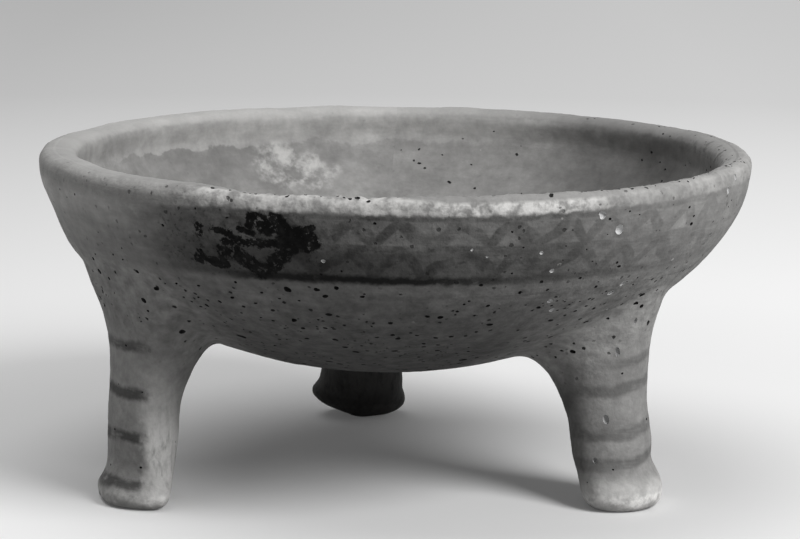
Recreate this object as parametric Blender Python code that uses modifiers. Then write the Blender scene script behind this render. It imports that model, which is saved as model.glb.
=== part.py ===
"""A hand-built earthenware tripod bowl, as the clay pieces that a potter joins.

A saucer-shaped base carries a wall coil and a thick rim coil. Three oval legs with
splayed feet are cut to the underside, and a coil of soft clay is luted round each root.
Units are metres, +Z is up, and the table is at Z = 0.
"""

import math

import bmesh
import bpy
from mathutils import Matrix, Vector

# Driving dimensions of the bowl
RIM_RADIUS = 0.100          # widest outer radius, just under the lip
BOWL_DEPTH = 0.0625         # underside to the top of the lip
UNDERSIDE_HEIGHT = 0.031    # table to the lowest point of the bowl
WALL_THICKNESS = 0.009
FLOOR_THICKNESS = 0.010
LIP_THICKNESS = 0.0105      # the lip is a little thicker than the wall
LIP_ROUND = 0.0035          # rise of the rounded lip above the widest line
DROP_POWER = 1.89           # fullness of the wall's curve, downwards
SPREAD_POWER = 1.80         # fullness of the wall's curve, outwards
RIM_COIL_HEIGHT = 0.010
WALL_COIL_HEIGHT = 0.015
JOIN_SLOPE = 0.006          # a coil join is bevelled: its inner edge is this much higher
UNDERSIDE_DRIFT = -0.004    # the hand-built bowl leans: its underside lies off the rim's centre

# Driving dimensions of the tripod
LEG_INSET = {"left": 0.0246, "right": 0.0280, "rear": 0.0310}    # leg axis inside the widest radius
LEG_AZIMUTH = {"left": 212.5, "right": 332.0, "rear": 95.0}      # set by eye, not quite even
FOOT_SPLAY = 0.0045         # the sole's centre stands this far outside the leg's axis
ANKLE_HEIGHT = 0.026        # where the splay begins
LEG_WIDTH = 0.0235          # across the leg, along the rim
LEG_THICKNESS = {"left": 0.0168, "right": 0.0215, "rear": 0.0190}
FOOT_WIDTH = 0.0290         # across the flared toe
FOOT_FLARE_HEIGHT = 0.015   # the toe tapers into the leg over this height
SOLE_ROUND = 0.0045         # rounding of the sole's edge
SOLE_SHARE = 0.62           # flat part of the sole, as a share of the foot
LEG_TOP_SPREAD = 0.0025     # the leg thickens by this much towards the bowl

# Driving dimensions of the luting coils
LUTING_DROP = 0.023         # how far the coil runs down the leg
LUTING_REACH = 0.016        # how far it runs out along the bowl
LUTING_OUTER_SHARE = 0.6    # both are this much smaller on the side away from the bowl's middle
LUTING_FULLNESS = 0.40      # how far the coil fills its corner on the inner side
LUTING_EDGE = 0.0007        # thickness of its smeared edges

SEAM_GAP = 0.0003           # slip-filled joint between two pieces
TURN_STEPS = 64
CURVE_STEPS = 9
LEG_SIDES = 24

# Places that follow from the dimensions
TOP_Z = UNDERSIDE_HEIGHT + BOWL_DEPTH
WIDEST_Z = TOP_Z - LIP_ROUND
OUTER_DEPTH = WIDEST_Z - UNDERSIDE_HEIGHT
INNER_DEPTH = OUTER_DEPTH - FLOOR_THICKNESS
INNER_RADIUS = RIM_RADIUS - WALL_THICKNESS
RIM_JOIN_Z = TOP_Z - RIM_COIL_HEIGHT
WALL_JOIN_Z = RIM_JOIN_Z - WALL_COIL_HEIGHT
JOIN_GAP = SEAM_GAP * math.hypot(1, JOIN_SLOPE / WALL_THICKNESS)


def clear_scene():
    for obj in list(bpy.data.objects):
        bpy.data.objects.remove(obj)


def new_collection(name):
    collection = bpy.data.collections.new(name)
    bpy.context.scene.collection.children.link(collection)
    return collection


def fired_clay(name, grey, roughness):
    material = bpy.data.materials.new(name)
    material.use_nodes = True
    shader = material.node_tree.nodes["Principled BSDF"]
    shader.inputs["Base Color"].default_value = (grey, grey * 0.97, grey * 0.92, 1)
    shader.inputs["Roughness"].default_value = roughness
    shader.inputs["Metallic"].default_value = 0
    return material


def place(name, mesh, collection, material, smooth_angle=50):
    mesh.name = name
    mesh.shade_smooth()
    mesh.set_sharp_from_angle(angle=math.radians(smooth_angle))
    mesh.materials.append(material)
    obj = bpy.data.objects.new(name, mesh)
    collection.objects.link(obj)
    return obj


# The bowl's curves

def wall_radius(radius, depth, z):
    """Radius of the wall's curve at height z; the curve is vertical at the widest line."""
    drop = max(0.0, (WIDEST_Z - z) / depth)
    return radius * max(0.0, 1 - drop ** DROP_POWER) ** (1 / SPREAD_POWER)


def wall_curve(radius, depth, top_z, bottom_z, steps):
    """Points (radius, height) down the wall's curve, evenly spread round its bend."""
    start, end = (
        math.asin(min(1.0, (WIDEST_Z - z) / depth) ** (DROP_POWER / 2)) for z in (top_z, bottom_z)
    )
    points = []
    for step in range(steps + 1):
        angle = start + (end - start) * step / steps
        drop = math.sin(angle) ** (2 / DROP_POWER)
        spread = max(0.0, math.cos(angle)) ** (2 / SPREAD_POWER)
        points.append((radius * spread, WIDEST_Z - depth * drop))
    return points


def outer_curve(top_z, bottom_z, steps):
    return wall_curve(RIM_RADIUS, OUTER_DEPTH, top_z, bottom_z, steps)


def inner_curve(top_z, bottom_z, steps):
    return wall_curve(INNER_RADIUS, INNER_DEPTH, top_z, bottom_z, steps)


def drift(z):
    """Sideways lean of the bowl at height z: nothing at the lip, all of it at the underside."""
    return UNDERSIDE_DRIFT * (TOP_Z - z) / BOWL_DEPTH


def turned(profile, closed):
    """Mesh of a profile turned round the bowl's axis, and then leaned."""
    line = bpy.data.meshes.new("profile")
    edges = [(i, i + 1) for i in range(len(profile) - 1)]
    if closed:
        edges.append((len(profile) - 1, 0))
    line.from_pydata([(radius, 0, z) for radius, z in profile], edges, [])
    blank = bpy.data.objects.new("turning_blank", line)
    bpy.context.scene.collection.objects.link(blank)
    screw = blank.modifiers.new("Turn", "SCREW")
    screw.steps = screw.render_steps = TURN_STEPS
    screw.use_merge_vertices = True
    screw.merge_threshold = 0.00001
    graph = bpy.context.evaluated_depsgraph_get()
    mesh = bpy.data.meshes.new_from_object(blank.evaluated_get(graph))
    bpy.data.objects.remove(blank)
    lean = Matrix.Shear("XY", 4, (-UNDERSIDE_DRIFT / BOWL_DEPTH, 0))
    mesh.transform(Matrix.Translation((0, 0, TOP_Z)) @ lean @ Matrix.Translation((0, 0, -TOP_Z)))
    return mesh


# The bowl's three pieces

def base_profile():
    inner_edge = WALL_JOIN_Z + JOIN_SLOPE / 2
    outer_edge = WALL_JOIN_Z - JOIN_SLOPE / 2
    floor = inner_curve(inner_edge, WIDEST_Z - INNER_DEPTH, CURVE_STEPS)
    underside = outer_curve(outer_edge, UNDERSIDE_HEIGHT, CURVE_STEPS)
    return floor[::-1] + underside


def wall_coil_profile():
    steps = CURVE_STEPS // 3
    outside = outer_curve(RIM_JOIN_Z - JOIN_SLOPE / 2, WALL_JOIN_Z - JOIN_SLOPE / 2 + JOIN_GAP, steps)
    inside = inner_curve(RIM_JOIN_Z + JOIN_SLOPE / 2, WALL_JOIN_Z + JOIN_SLOPE / 2 + JOIN_GAP, steps)
    return outside + inside[::-1]


def rim_coil_profile():
    steps = CURVE_STEPS // 3
    outside = outer_curve(WIDEST_Z, RIM_JOIN_Z - JOIN_SLOPE / 2 + JOIN_GAP, steps)
    inner_seam = RIM_JOIN_Z + JOIN_SLOPE / 2 + JOIN_GAP
    inside = [(wall_radius(INNER_RADIUS, INNER_DEPTH, inner_seam), inner_seam)]
    lip = []
    half = LIP_THICKNESS / 2
    for step in range(CURVE_STEPS):
        angle = math.pi * (1 - step / CURVE_STEPS)
        lip.append((RIM_RADIUS - half + half * math.cos(angle), WIDEST_Z + LIP_ROUND * math.sin(angle)))
    return outside + inside + lip


def make_bowl(collection):
    base = turned(base_profile(), closed=False)
    wall = turned(wall_coil_profile(), closed=True)
    rim = turned(rim_coil_profile(), closed=True)
    place("bowl_base", base, collection, fired_clay("base clay", 0.20, 0.7))
    place("wall_coil", wall, collection, fired_clay("wall clay", 0.15, 0.7))
    place("rim_coil", rim, collection, fired_clay("rim clay", 0.36, 0.6))


def underside_cutter(collection):
    """The bowl's outer shape, filled in and one seam gap larger, which the legs are cut to."""
    skin = wall_curve(RIM_RADIUS + SEAM_GAP, OUTER_DEPTH + SEAM_GAP, WIDEST_Z,
                      UNDERSIDE_HEIGHT - SEAM_GAP, 3 * CURVE_STEPS)
    mesh = turned([(0, WIDEST_Z)] + skin, closed=False)
    cutter = place("underside_cutter", mesh, collection, fired_clay("cutter", 0.5, 1.0))
    cutter.hide_render = True
    cutter.display_type = "WIRE"
    return cutter


# The underside as a surface: its height, slope and normal at a place on plan

def underside_z(x, y):
    low, high = UNDERSIDE_HEIGHT, WIDEST_Z
    for _ in range(40):
        middle = (low + high) / 2
        if wall_radius(RIM_RADIUS, OUTER_DEPTH, middle) < math.hypot(x - drift(middle), y):
            low = middle
        else:
            high = middle
    return (low + high) / 2


def underside_normal(x, y):
    """Unit normal of the underside, pointing out of the clay."""
    step = 0.0002
    across = (underside_z(x + step, y) - underside_z(x - step, y)) / (2 * step)
    along = (underside_z(x, y + step) - underside_z(x, y - step)) / (2 * step)
    return Vector((across, along, -1)).normalized()


class Leg:
    """One leg's shape. Its own frame has +X outwards from the tripod's axis and the table at Z = 0."""

    def __init__(self, side):
        self.half_thickness = LEG_THICKNESS[side] / 2
        centre = Matrix.Translation((UNDERSIDE_DRIFT, 0, 0))
        turn = Matrix.Rotation(math.radians(LEG_AZIMUTH[side]), 4, "Z")
        self.frame = centre @ turn @ Matrix.Translation((RIM_RADIUS - LEG_INSET[side], 0, 0))

    def section(self, z):
        """Centre along X, half thickness and half width of the oval section at height z."""
        kick = max(0.0, 1 - z / ANKLE_HEIGHT) ** 2
        flare = math.exp(-((z - SOLE_ROUND) / FOOT_FLARE_HEIGHT) ** 2) if z > SOLE_ROUND else 1.0
        rise = min(1.0, max(0.0, (z - ANKLE_HEIGHT) / (TOP_Z - ANKLE_HEIGHT)))
        half_width = LEG_WIDTH / 2 + (FOOT_WIDTH - LEG_WIDTH) / 2 * flare
        grow = 1.0
        if z < SOLE_ROUND:
            grow = SOLE_SHARE + (1 - SOLE_SHARE) * math.sqrt(1 - (1 - z / SOLE_ROUND) ** 2)
        spread = LEG_TOP_SPREAD * rise
        return FOOT_SPLAY * kick, (self.half_thickness + spread) * grow, (half_width + spread) * grow

    def point(self, angle, z, offset=0.0):
        """Point on the leg's side, in its own frame, moved out along the section's normal."""
        centre, thick, wide = self.section(z)
        side = Vector((centre + thick * math.cos(angle), wide * math.sin(angle), z))
        return side + offset * self.outward(angle, z)

    def outward(self, angle, z):
        _, thick, wide = self.section(z)
        return Vector((math.cos(angle) / thick, math.sin(angle) / wide, 0)).normalized()

    def bowl_z(self, point):
        world = self.frame @ point
        return underside_z(world.x, world.y)

    def on_bowl(self, point, offset):
        """The bowl's underside straight above or below a point, moved out of the clay."""
        world = self.frame @ point
        world.z = underside_z(world.x, world.y)
        return self.frame.inverted() @ (world + offset * underside_normal(world.x, world.y))

    def root(self, angle):
        """Height at which the leg's side meets the bowl."""
        low, high = 0.0, WIDEST_Z
        for _ in range(40):
            middle = (low + high) / 2
            if self.bowl_z(self.point(angle, middle)) > middle:
                low = middle
            else:
                high = middle
        return (low + high) / 2

    def heights(self):
        """Section heights: close together round the sole's edge, then even up to inside the bowl."""
        sole_steps, shaft_steps = 4, 9
        heights = [SOLE_ROUND * (1 - math.cos(math.pi / 2 * i / sole_steps)) for i in range(sole_steps + 1)]
        highest_root = max(self.root(math.tau * i / LEG_SIDES) for i in range(LEG_SIDES))
        top = highest_root + LUTING_EDGE + SEAM_GAP
        heights += [SOLE_ROUND + (top - SOLE_ROUND) * (i + 1) / shaft_steps for i in range(shaft_steps)]
        return heights


def make_leg(name, leg, collection, cutter, material):
    """Oval rings drawn up from the sole, capped, and cut to the bowl's underside."""
    shape = bmesh.new()
    angles = [math.tau * i / LEG_SIDES for i in range(LEG_SIDES)]
    ring = [shape.verts.new(leg.point(angle, 0)) for angle in angles]
    shape.faces.new(ring[::-1])
    for z in leg.heights()[1:]:
        above = [shape.verts.new(leg.point(angle, z)) for angle in angles]
        for i in range(LEG_SIDES):
            j = (i + 1) % LEG_SIDES
            shape.faces.new((ring[i], ring[j], above[j], above[i]))
        ring = above
    shape.faces.new(ring)
    mesh = bpy.data.meshes.new(name)
    shape.to_mesh(mesh)
    shape.free()
    obj = place(name, mesh, collection, material)
    seat = obj.modifiers.new("Seat on the bowl", "BOOLEAN")
    seat.operation = "DIFFERENCE"
    seat.object = cutter
    return obj


def luting_section(leg, angle):
    """Closed section of the luting coil at one angle: a hollow curve outside, a corner inside."""
    inwards = (1 - math.cos(angle)) / 2
    size = LUTING_OUTER_SHARE + (1 - LUTING_OUTER_SHARE) * inwards
    root_z = leg.root(angle)
    foot_z = root_z - LUTING_DROP * size
    root = leg.point(angle, root_z)
    away = leg.outward(angle, root_z)
    step = 0.001
    slope = (leg.bowl_z(root + step * away) - leg.bowl_z(root - step * away)) / (2 * step)
    reach = LUTING_REACH * size / math.hypot(1, slope)
    seated, proud = SEAM_GAP, SEAM_GAP + LUTING_EDGE
    hollow_steps, seat_steps = 6, 3

    start = leg.point(angle, foot_z, proud)
    end = leg.on_bowl(root + reach * away, proud)
    corner = leg.on_bowl(root + proud * away, proud)
    corner = corner.lerp((start + end) / 2, LUTING_FULLNESS * inwards)
    section = [leg.point(angle, foot_z, seated)]
    for i in range(hollow_steps + 1):
        t = i / hollow_steps
        section.append((1 - t) ** 2 * start + 2 * t * (1 - t) * corner + t ** 2 * end)
    for i in range(seat_steps + 1):
        share = 1 - i / seat_steps
        section.append(leg.on_bowl(root + (seated + (reach - seated) * share) * away, seated))
    inner_corner_z = section[-1].z
    for i in range(1, seat_steps):
        z = inner_corner_z + (foot_z - inner_corner_z) * i / seat_steps
        section.append(leg.point(angle, z, seated))
    return section


def make_luting_coil(name, leg, collection, material):
    """The luting sections joined into a ring round the leg's root."""
    shape = bmesh.new()
    rings = []
    for i in range(LEG_SIDES):
        section = luting_section(leg, math.tau * i / LEG_SIDES)
        rings.append([shape.verts.new(point) for point in section])
    for ring, following in zip(rings, rings[1:] + rings[:1]):
        for i in range(len(ring)):
            j = (i + 1) % len(ring)
            shape.faces.new((ring[i], following[i], following[j], ring[j]))
    bmesh.ops.recalc_face_normals(shape, faces=shape.faces)
    mesh = bpy.data.meshes.new(name)
    shape.to_mesh(mesh)
    shape.free()
    return place(name, mesh, collection, material)


def make_tripod(collection, cutter):
    leg_clay = fired_clay("leg clay", 0.28, 0.65)
    luting_clay = fired_clay("luting clay", 0.22, 0.7)
    for side in LEG_AZIMUTH:
        leg = Leg(side)
        column = make_leg(f"{side}_leg", leg, collection, cutter, leg_clay)
        coil = make_luting_coil(f"{side}_luting_coil", leg, collection, luting_clay)
        column.matrix_world = coil.matrix_world = leg.frame


def main():
    clear_scene()
    parts = new_collection("tripod_bowl")
    cutters = new_collection("cutters")
    make_bowl(parts)
    make_tripod(parts, underside_cutter(cutters))


main()
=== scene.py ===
import math
import random
from functools import partial
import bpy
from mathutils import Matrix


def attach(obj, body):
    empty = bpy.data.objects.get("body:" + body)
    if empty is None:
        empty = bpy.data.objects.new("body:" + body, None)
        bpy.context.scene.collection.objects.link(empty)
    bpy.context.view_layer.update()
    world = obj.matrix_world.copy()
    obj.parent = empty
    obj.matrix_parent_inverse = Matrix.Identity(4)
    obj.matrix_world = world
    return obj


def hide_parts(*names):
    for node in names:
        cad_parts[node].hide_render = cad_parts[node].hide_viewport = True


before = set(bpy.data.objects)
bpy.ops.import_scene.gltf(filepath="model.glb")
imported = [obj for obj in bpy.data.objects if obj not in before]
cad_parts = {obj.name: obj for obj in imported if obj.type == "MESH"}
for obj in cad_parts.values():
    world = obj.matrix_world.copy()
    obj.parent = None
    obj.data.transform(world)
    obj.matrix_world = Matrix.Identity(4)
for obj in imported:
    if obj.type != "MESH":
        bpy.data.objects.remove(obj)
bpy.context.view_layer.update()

from types import SimpleNamespace

import bpy
import numpy as np
from mathutils import Matrix, Vector
from mathutils.bvhtree import BVHTree

mm = 0.001
weldGap = 0.02 * mm
scene = bpy.context.scene
scene.view_settings.view_transform = "Standard"


# working habits: one active object, one modifier applied at a time

def pick(*objects):
    if bpy.context.mode != "OBJECT":
        bpy.ops.object.mode_set(mode="OBJECT")
    bpy.ops.object.select_all(action="DESELECT")
    for obj in objects:
        obj.select_set(True)
    bpy.context.view_layer.objects.active = objects[0]


def merge(objects):
    pick(*objects)
    bpy.ops.object.join()
    return bpy.context.active_object


def rename(obj, name):
    obj.name = obj.data.name = name
    return obj


def applyModifier(obj, kind, **settings):
    pick(obj)
    modifier = obj.modifiers.new(kind.title(), kind)
    for name, value in settings.items():
        setattr(modifier, name, value)
    bpy.ops.object.modifier_apply(modifier=modifier.name)


def cutAway(obj, cutter, operation="DIFFERENCE"):
    applyModifier(obj, "BOOLEAN", operation=operation, solver="MANIFOLD", object=cutter,
                  material_mode="TRANSFER")


def discard(*objects):
    for obj in objects:
        bpy.data.objects.remove(obj)


def twin(obj, name):
    pick(obj)
    bpy.ops.object.duplicate()
    return rename(bpy.context.active_object, name)


def faceOutwards():
    bpy.ops.mesh.select_all(action="SELECT")
    bpy.ops.mesh.normals_make_consistent(inside=False)
    bpy.ops.object.mode_set(mode="OBJECT")


def readPoints(obj):
    points = np.empty(len(obj.data.vertices) * 3)
    obj.data.vertices.foreach_get("co", points)
    return points.reshape(-1, 3)


def writePoints(obj, points):
    obj.data.vertices.foreach_set("co", points.ravel())
    obj.data.update()


def weigh(obj, name, weights, levels=20):
    group = obj.vertex_groups.new(name=name)
    steps = np.round(np.clip(weights, 0, 1) * levels).astype(int)
    for step in range(1, levels + 1):
        members = np.nonzero(steps == step)[0].tolist()
        if members:
            group.add(members, step / levels, "REPLACE")
    return name


def smoothstep(low, high, values):
    t = np.clip((values - low) / (high - low), 0, 1)
    return t * t * (3 - 2 * t)


def hump(values, middle, width):
    return np.exp(-((values - middle) / width) ** 2)


# camera, set where the photograph was taken from

cameraValues = {
    "lens": 133.97,
    "sensor": 36,
    "target": (1.52 * mm, 0, 58.18 * mm),
    "distance": 842.92 * mm,
    "elevation": 9.85,
    "roll": 0.71,
}


def setCamera(v):
    rise = math.radians(v["elevation"])
    place = Vector(v["target"]) + v["distance"] * Vector((0, -math.cos(rise), math.sin(rise)))
    bpy.ops.object.camera_add(location=place)
    camera = bpy.context.active_object
    camera.rotation_mode = "ZYX"
    camera.rotation_euler = (math.pi / 2 - rise, 0, math.radians(v["roll"]))
    camera.data.lens = v["lens"]
    camera.data.sensor_width = v["sensor"]
    camera.data.clip_start = 10 * mm
    scene.camera = camera


# pale seamless floor and soft studio light, strongest from the right; for the camera the floor also glows, paler
# far off and to the right and a little in the shadow: painted light

studioValues = {
    "floorGrey": 0.88,
    "floorBounce": 0.36,
    "floorSize": 12.0,
    "floorRough": 0.9,
    "floorGloss": 0.1,
    # the floor's glow for the camera: painted light
    "floorGlow": (0.10, 0.36, 0.07, 0.7),     # from, to, least and most share of the paleness the camera sees
    "floorGlowGrey": ((0, 0.9), (0.3, 0.9), (0.95, 0.63)),
    "floorGlowToRight": 0.6,
    "floorGlowLimits": (0.85, 1.12),
    "world": 0.13,
    "sky": 0.66,
    "lampAim": (0, 0, 50 * mm),
    "lamps": {     # place, size, power
        "keyLamp": ((0.86, -0.78, 0.92), 0.7, 18.0),
        "topLamp": ((-0.30, 0.05, 1.27), 1.2, 8.0),
    },
}


def softLamp(name, aim, place, size, power):
    bpy.ops.object.light_add(type="AREA", location=place)
    lamp = bpy.context.active_object
    lamp.name = name
    lamp.rotation_euler = (Vector(aim) - Vector(place)).to_track_quat("-Z", "Y").to_euler()
    lamp.data.shape = "DISK"
    lamp.data.size = size
    lamp.data.energy = power


def seenDirectly(tree):
    rays = tree.nodes.new("ShaderNodeLightPath").outputs
    return atLeast(rays["Is Camera Ray"], atLeast(rays["Is Glossy Ray"], rays["Is Transmission Ray"]))


def floorPaper(v):
    paper, tree, place, (right, _, _) = startFinish("floorPaper")
    shader = tree.nodes["Principled BSDF"]
    seen = seenDirectly(tree)
    link(combineGrey(mixTone(seen, v["floorBounce"], v["floorGrey"])), shader.inputs["Base Color"])
    shader.inputs["Roughness"].default_value = v["floorRough"]
    shader.inputs["Specular IOR Level"].default_value = v["floorGloss"]
    far = vectorCalc("LENGTH", place)
    darkest, palest = v["floorGlowLimits"]
    sideways = atMost(atLeast(timesPlus(right, v["floorGlowToRight"], 1), darkest), palest)
    # the floor glows for the camera: painted light
    glow = tree.nodes.new("ShaderNodeEmission")
    link(combineGrey(times(ramp(far, v["floorGlowGrey"]), sideways)), glow.inputs["Color"])
    start, end, least, most = v["floorGlow"]
    mix = tree.nodes.new("ShaderNodeMixShader")
    link(times(seen, timesPlus(ease(far, start, end), most - least, least)), mix.inputs[0])
    link(shader.outputs[0], mix.inputs[1])
    link(glow.outputs[0], mix.inputs[2])
    link(mix.outputs[0], tree.nodes["Material Output"].inputs["Surface"])
    return paper


def setStudio(v):
    bpy.ops.mesh.primitive_plane_add(size=v["floorSize"], location=(0, 0, 0))
    floor = rename(bpy.context.active_object, "floor")
    floor.data.materials.append(floorPaper(v))
    for name, lamp in v["lamps"].items():
        softLamp(name, v["lampAim"], *lamp)
    world = bpy.data.worlds.new("studio")
    world.use_nodes = True
    tree = world.node_tree
    grey = combineGrey(mixTone(seenDirectly(tree), v["world"], v["sky"]))
    link(grey, tree.nodes["Background"].inputs["Color"])
    scene.world = world


# the bowl: a profile drawn by extruding one point, then spun

bowlValues = {
    "rimRadius": 100 * mm,
    "top": 93.5 * mm,
    "underside": 31 * mm,
    "wall": 9 * mm,
    "floor": 10 * mm,
    "lip": 10.5 * mm,
    "lipRound": 3.5 * mm,
    "lipFullness": 0.8,
    "lipSteps": 12,
    "dropPower": 1.89,
    "spreadPower": 1.80,
    "lean": -4 * mm,
    "spinSteps": 180,
    "curveSteps": 26,
}
widest = bowlValues["top"] - bowlValues["lipRound"]
outerDepth = widest - bowlValues["underside"]
bowlDepth = bowlValues["top"] - bowlValues["underside"]


def leanAt(z):
    return bowlValues["lean"] * (bowlValues["top"] - z) / bowlDepth


def wallCurve(radius, depth, steps):
    curve = []
    for step in range(steps + 1):
        angle = math.pi / 2 * step / steps
        drop = math.sin(angle) ** (2 / bowlValues["dropPower"])
        spread = max(0.0, math.cos(angle)) ** (2 / bowlValues["spreadPower"])
        curve.append((radius * spread, widest - depth * drop))
    return curve


def outerRadius(z):
    t = np.clip((widest - z) / outerDepth, 0, 1)
    return bowlValues["rimRadius"] * (1 - t ** bowlValues["dropPower"]) ** (1 / bowlValues["spreadPower"])


def spinProfile(name, profile, steps):
    bpy.ops.mesh.primitive_plane_add(size=10 * mm, location=(0, 0, 0))
    turned = rename(bpy.context.active_object, name)
    bpy.ops.object.mode_set(mode="EDIT")
    bpy.ops.mesh.select_mode(type="VERT")
    bpy.ops.mesh.merge(type="CENTER")
    bpy.ops.transform.translate(value=(profile[0][0], 0, profile[0][1]))
    for (r, z), (nextR, nextZ) in zip(profile, profile[1:]):
        bpy.ops.mesh.extrude_region_move(TRANSFORM_OT_translate={"value": (nextR - r, 0, nextZ - z)})
    bpy.ops.mesh.select_all(action="SELECT")
    bpy.ops.mesh.spin(steps=steps, angle=math.tau, center=(0, 0, 0), axis=(0, 0, 1))
    bpy.ops.mesh.select_all(action="SELECT")
    bpy.ops.mesh.remove_doubles(threshold=weldGap)
    faceOutwards()
    points = readPoints(turned)
    points[:, 0] += leanAt(points[:, 2])
    writePoints(turned, points)
    return turned


def modelBowl(v):
    inside = wallCurve(v["rimRadius"] - v["wall"], outerDepth - v["floor"], v["curveSteps"])[::-1]
    outside = wallCurve(v["rimRadius"], outerDepth, v["curveSteps"])
    half = v["lip"] / 2
    lip = []
    for step in range(v["lipSteps"] + 1):
        angle = math.pi * (1 - step / v["lipSteps"])
        bulge = math.copysign(abs(math.cos(angle)) ** v["lipFullness"], math.cos(angle))
        rise = v["lipRound"] * math.sin(angle) ** v["lipFullness"]
        lip.append((v["rimRadius"] - half + half * bulge, widest + rise))
    bowl = spinProfile("bowl", inside[:-2] + lip[:-1] + outside, v["spinSteps"])
    print("bowl spun:", len(bowl.data.vertices), "points")
    return bowl


# the legs: an oval drawn up ring by ring, flaring and tilting into the bowl's underside

legShape = {
    "width": 23.5 * mm,
    "footWidth": 29 * mm,
    "splay": 4.5 * mm,
    "sides": 48,
    "rootLength": 18 * mm,
    "toeHeight": 6.2 * mm,
    "toeFade": (14 * mm, 7 * mm),
    "footFade": (14 * mm, 5 * mm),
    "shiftSoft": 8 * mm,
    "liftReach": 14 * mm,
    "liftFade": (16 * mm, 1 * mm),
    "rootIn": 1.5 * mm,
    "footShare": 0.95,
    "footRise": 1.0,
    "shiftZone": (-20 * mm, 12 * mm),
    "lift": (0, 0),
    # share of the splay, height in mm, shares of the thickness and the foot's width
    "footRings": ((1, 0, 0.74, 0.74), (1, 0.3, 0.84, 0.84), (0.98, 1, 0.93, 0.93), (0.92, 2.2, 0.99, 0.99),
                  (0.86, 4.2, 1.02, 1), (0.6, 6.2, 0.98, 0.95), (0.4, 8.5, 0.95, 0.9), (0.2, 12, 0.96, 0.87)),
    # centre out and height in mm, shares of the thickness and width, tilt in degrees
    "legRings": ((0.225, 18, 1, 1.02, 0), (0, 24, 1.01, 1, 2), (-0.3, 30, 1.1, 1.04, 6),
                 (-0.8, 36, 1.26, 1.12, 12), (-1.4, 42, 1.5, 1.26, 20), (-1.5, 48, 1.88, 1.5, 28),
                 (-0.8, 53, 2.3, 1.8, 34), (0, 57, 2.45, 1.9, 36)),
}
legValues = {     # where one leg differs
    "left": {**legShape, "azimuth": 212.5, "axis": 75.4 * mm, "thick": 16.8 * mm, "slim": 0.10,
             "rootFrom": 26 * mm, "ridge": 0.1, "ridgeTurn": 57, "square": 0.6, "shift": (-2 * mm, -2.3 * mm)},
    "right": {**legShape, "azimuth": 332.0, "axis": 72.0 * mm, "thick": 21.5 * mm, "slim": 0.02,
              "rootFrom": 14 * mm, "ridge": 0.03, "ridgeTurn": -20, "square": 0.2,
              "shift": (1.2 * mm, 0.7 * mm), "shiftZone": (17 * mm, 38 * mm), "rootIn": 3.1 * mm, "footRise": 1.5},
    "rear": {**legShape, "azimuth": 95.0, "axis": 69.0 * mm, "thick": 19.0 * mm, "slim": 0.0,
             "rootFrom": 24 * mm, "ridge": 0.04, "ridgeTurn": 30, "square": 0.3, "shift": (0, 0.6 * mm),
             "footShare": 1.02, "lift": (5.0 * mm, 1.5 * mm)},
}


def legFrame(side):
    v = legValues[side]
    turn = Matrix.Rotation(math.radians(v["azimuth"]), 4, "Z")
    return Matrix.Translation((bowlValues["lean"], 0, 0)) @ turn @ Matrix.Translation((v["axis"], 0, 0))


def legRings(v):
    thick = v["thick"]
    wide = v["width"]
    foot = v["footWidth"] * v["footShare"]
    splay = v["splay"]
    rings = [(out * splay, z * mm, deep * thick, broad * foot, 0) for out, z, deep, broad in v["footRings"]]
    rings += [(out * mm, z * mm, deep * thick, broad * wide, tilt)
              for out, z, deep, broad, tilt in v["legRings"]]
    shaped = []
    for x, z, ringThick, ringWide, tilt in rings:
        root = float(smoothstep(v["rootFrom"], v["rootFrom"] + v["rootLength"], z))
        z += (v["footRise"] - 1) * min(z, v["toeHeight"]) * float(smoothstep(*v["toeFade"], z))
        shaped.append((x - v["rootIn"] * root, z, ringThick * (1 - v["slim"] * root), ringWide, tilt))
    return shaped


def ridgeAt(v, turns):
    turns = turns - math.radians(v["ridgeTurn"])
    return 1 + v["ridge"] * (np.cos(3 * turns) + 0.3 * np.cos(6 * turns))


def shapeFoot(leg, v, rings):
    # the ridge dies out above a blockier foot, set a little aside and turned up at its corners
    points = readPoints(leg)
    x, y, z = points.T.copy()
    middle, heights, thick, wide, _ = np.array(rings).T
    middle = np.interp(z, heights, middle)
    halfThick = np.interp(z, heights, thick / 2)
    halfWide = np.interp(z, heights, wide / 2)
    turns = np.arctan2(y / halfWide, (x - middle) / halfThick)
    foot = smoothstep(*v["footFade"], z)
    toFront = turns - math.radians(270 - v["azimuth"])
    square = (np.cos(toFront) ** 4 + np.sin(toFront) ** 4) ** -0.25
    size = ridgeAt(v, turns) ** -foot * (1 + (square - 1) * v["square"] * foot)
    lowest, highest = v["shiftZone"]
    soft = v["shiftSoft"]
    aside = smoothstep(lowest - soft, lowest + soft, z) * smoothstep(highest + soft, highest - soft, z)
    points[:, 0] = middle + (x - middle) * size + v["shift"][0] * aside
    points[:, 1] = y * size + v["shift"][1] * aside
    toCorner = y / v["liftReach"]
    corner = v["lift"][0] * np.clip(toCorner, 0, 1) + v["lift"][1] * np.clip(-toCorner, 0, 1)
    points[:, 2] = z + corner * smoothstep(*v["liftFade"], z)
    writePoints(leg, points)


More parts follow.
